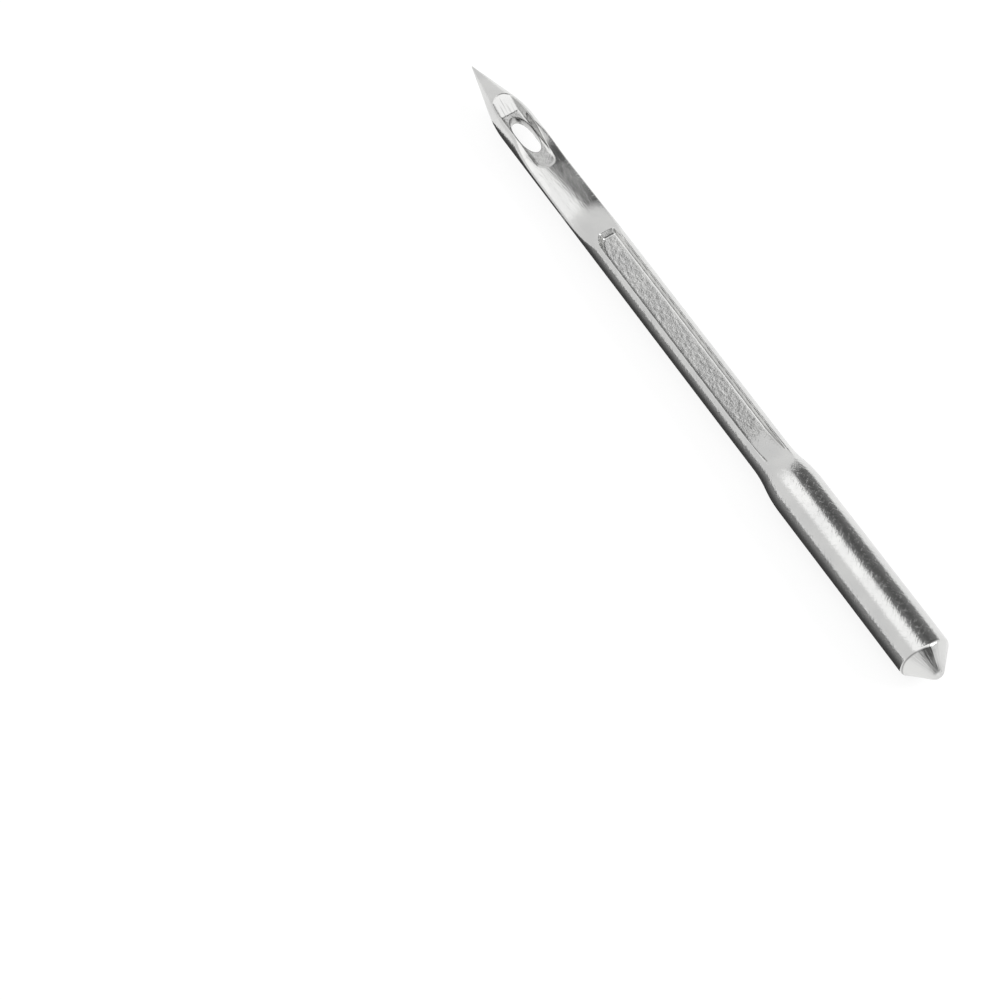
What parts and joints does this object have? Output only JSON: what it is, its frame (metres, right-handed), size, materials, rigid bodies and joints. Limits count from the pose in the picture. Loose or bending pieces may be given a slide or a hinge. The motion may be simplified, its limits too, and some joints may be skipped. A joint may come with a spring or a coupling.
{
  "type": "sewing machine needle",
  "caption": "Heavy sewing machine needle with a round shank, a coned butt, thread grooves on both sides, a scarf above the eye and a sharp point.",
  "frame": {"origin": "middle of the rounded butt end, on the needle's axis", "axes": "+Y along the needle from the butt to the point, +Z out of the side with the scarf"},
  "size_m": [0.0024, 0.043, 0.0024],
  "materials": {
    "plated_steel": "polished hard-nickel plate, with rough pressed groove floors"
  },
  "bodies": {
    "root": {"needle": "plated_steel"}
  },
  "joints": []
}
